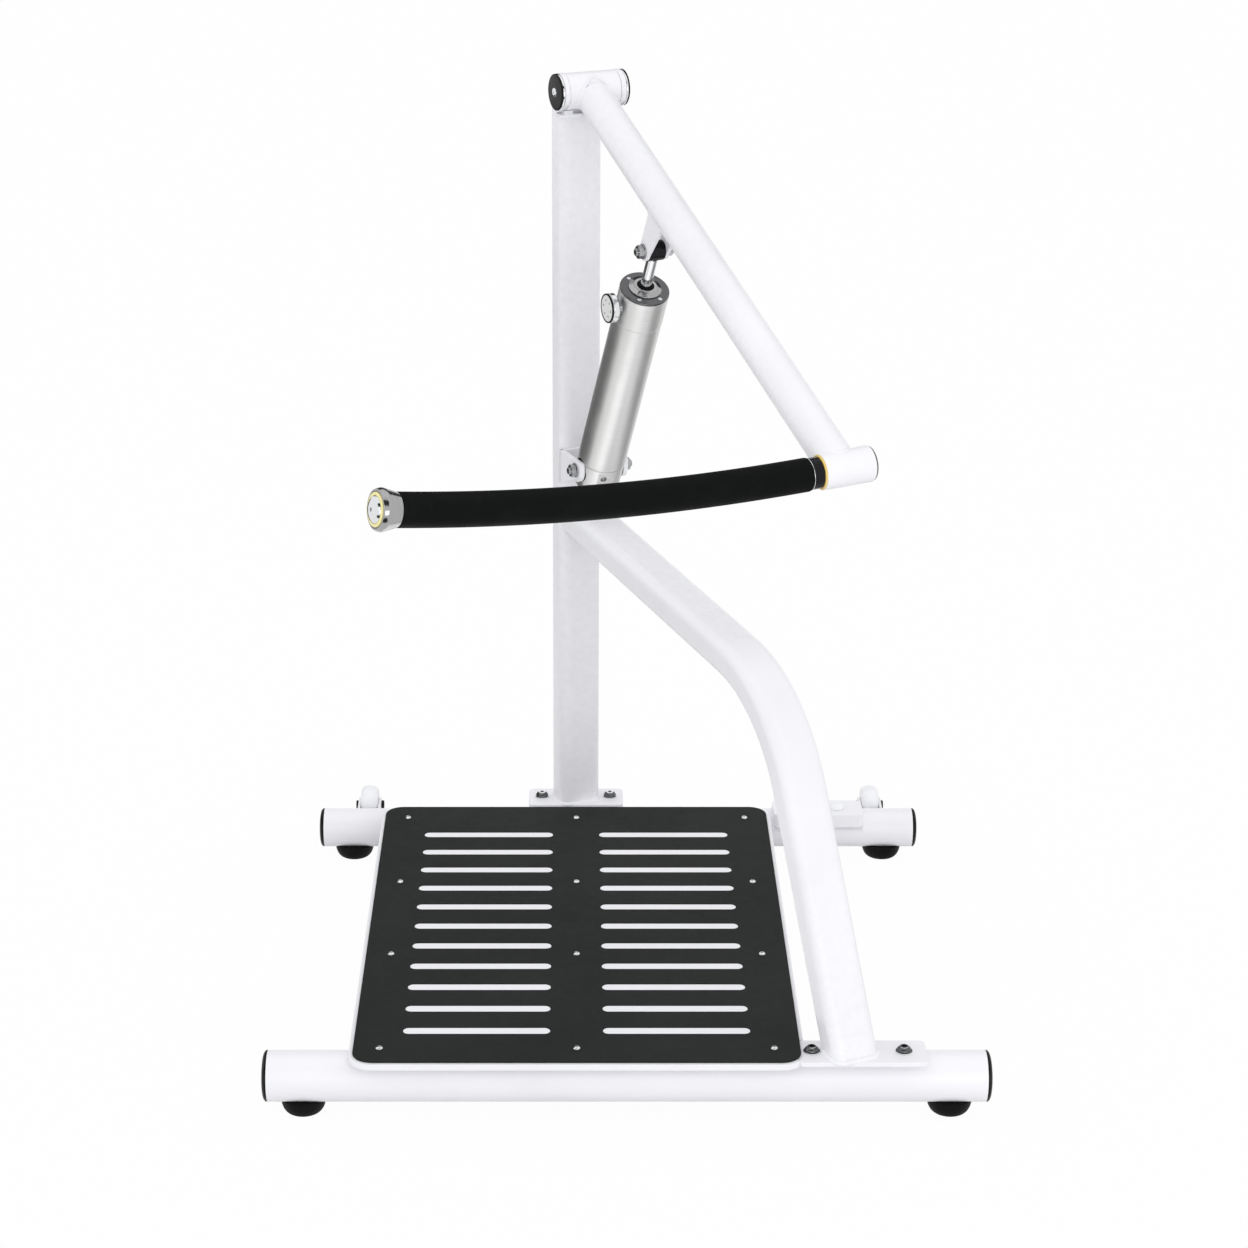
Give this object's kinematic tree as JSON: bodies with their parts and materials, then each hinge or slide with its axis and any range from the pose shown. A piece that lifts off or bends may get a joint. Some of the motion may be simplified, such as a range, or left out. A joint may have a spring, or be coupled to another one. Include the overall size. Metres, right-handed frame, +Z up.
{
  "type": "shoulder press machine",
  "caption": "Standing shoulder press: a slotted platform, a braced mast and a pivoted arm with a cambered side handle, resisted by a hydraulic cylinder.",
  "frame": {"origin": "middle of the bounding box's footprint, on the floor", "axes": "+Z up, +X to the user's right seen from the front, -Y towards the front, where the handle reaches out"},
  "size_m": [1.079, 1.2616, 1.3903],
  "materials": {
    "white_paint": "smooth white powder coat",
    "black_plate": "charcoal powder coat, fine grain",
    "black_plastic": "satin moulded black",
    "rubber": "matt black rubber",
    "brushed_steel": "brushed stainless steel",
    "dark_steel": "dark plated steel",
    "chrome": "bright chrome plate",
    "zinc": "zinc plated fasteners",
    "bronze": "yellow bearing metal",
    "white_nylon": "white moulded nylon",
    "dial_face": "pale satin disc"
  },
  "bodies": {
    "frame": {"front_cross_tube": "white_paint", "front_left_end_cap": "black_plastic", "front_right_end_cap": "black_plastic", "front_left_foot": "rubber", "front_right_foot": "rubber", "rear_cross_tube": "white_paint", "rear_left_end_cap": "black_plastic", "rear_right_end_cap": "black_plastic", "rear_left_foot": "rubber", "rear_right_foot": "rubber", "platform_plate": "black_plate", "platform_deck": "white_paint", "platform_rail_left": "white_paint", "platform_rail_centre": "white_paint", "platform_rail_right": "white_paint", "spare_pad_cap_left": "white_nylon", "spare_pad_cap_right": "white_nylon", "mast": "white_paint", "mast_bolt_left": "zinc", "mast_bolt_right": "zinc", "brace": "white_paint", "brace_bolt_left": "zinc", "brace_bolt_right": "zinc", "cylinder_bracket": "white_paint", "lower_cylinder_bolt": "zinc", "pivot_axle": "zinc", "pivot_ring_left": "chrome", "pivot_ring_right": "chrome", "pivot_cap_left": "black_plastic", "pivot_cap_right": "black_plastic", "wheel_bolt_left": "black_plastic", "wheel_bolt_right": "black_plastic"},
    "arm": {"press_arm": "white_paint", "pivot_bush_left": "bronze", "pivot_bush_right": "bronze", "upper_cylinder_bolt": "zinc", "hub_bush_left": "bronze", "hub_bush_right": "bronze"},
    "rod": {"cylinder_rod": "chrome", "cylinder_piston": "brushed_steel"},
    "cylinder": {"cylinder_base_block": "brushed_steel", "cylinder_barrel": "brushed_steel", "cylinder_head": "brushed_steel", "cylinder_head_cover": "dark_steel", "cylinder_gland": "brushed_steel", "rod_seal": "rubber"},
    "dial": {"dial_knob": "chrome", "dial_face": "dial_face"},
    "handle": {"handle_bar": "brushed_steel", "handle_inner_collar": "chrome", "handle_grip": "rubber", "handle_tip_collar": "brushed_steel", "handle_tip_ring": "bronze", "handle_tip_plug": "chrome", "handle_end_cap": "dark_steel"},
    "wheel_left": {"transport_wheel_left": "white_nylon"},
    "wheel_right": {"transport_wheel_right": "white_nylon"}
  },
  "joints": [
    {"name": "arm_swing", "type": "hinge", "parent": "frame", "child": "arm", "pos_m": [-0.05346, 0.47877, 1.3605], "axis": [-0.9163, -0.4004, 0], "range_deg": [0, 36]},
    {"name": "rod_pivot", "type": "hinge", "parent": "arm", "child": "rod", "pos_m": [0.047, 0.24887, 1.15322], "axis": [0.9163, 0.4004, 0], "range_deg": [0, 36]},
    {"name": "rod_slide", "type": "slide", "parent": "rod", "child": "cylinder", "axis": [-0.1792, 0.41, -0.8943], "range_m": [0, 0.202]},
    {"name": "dial_turn", "type": "hinge", "parent": "cylinder", "child": "dial", "pos_m": [0.02734, 0.29385, 1.05511], "axis": [-0.9163, -0.4004, 0], "range_deg": [-135, 135]},
    {"name": "handle_turn", "type": "hinge", "parent": "arm", "child": "handle", "pos_m": [0.29302, -0.31416, 0.9765], "axis": [0.9236, 0.3804, 0.0478], "range_deg": [-30, 30]},
    {"name": "wheel_left_spin", "type": "hinge", "parent": "frame", "child": "wheel_left", "pos_m": [-0.441, 0.59378, 0.061], "axis": [1, 0, 0], "continuous": true},
    {"name": "wheel_right_spin", "type": "hinge", "parent": "frame", "child": "wheel_right", "pos_m": [0.449, 0.59378, 0.061], "axis": [1, 0, 0], "continuous": true}
  ],
  "couplings": [
    {"joint": "rod_pivot", "follows": "arm_swing", "ratio": 0.982},
    {"joint": "rod_slide", "follows": "arm_swing", "m_per_rad": 0.3188}
  ]
}
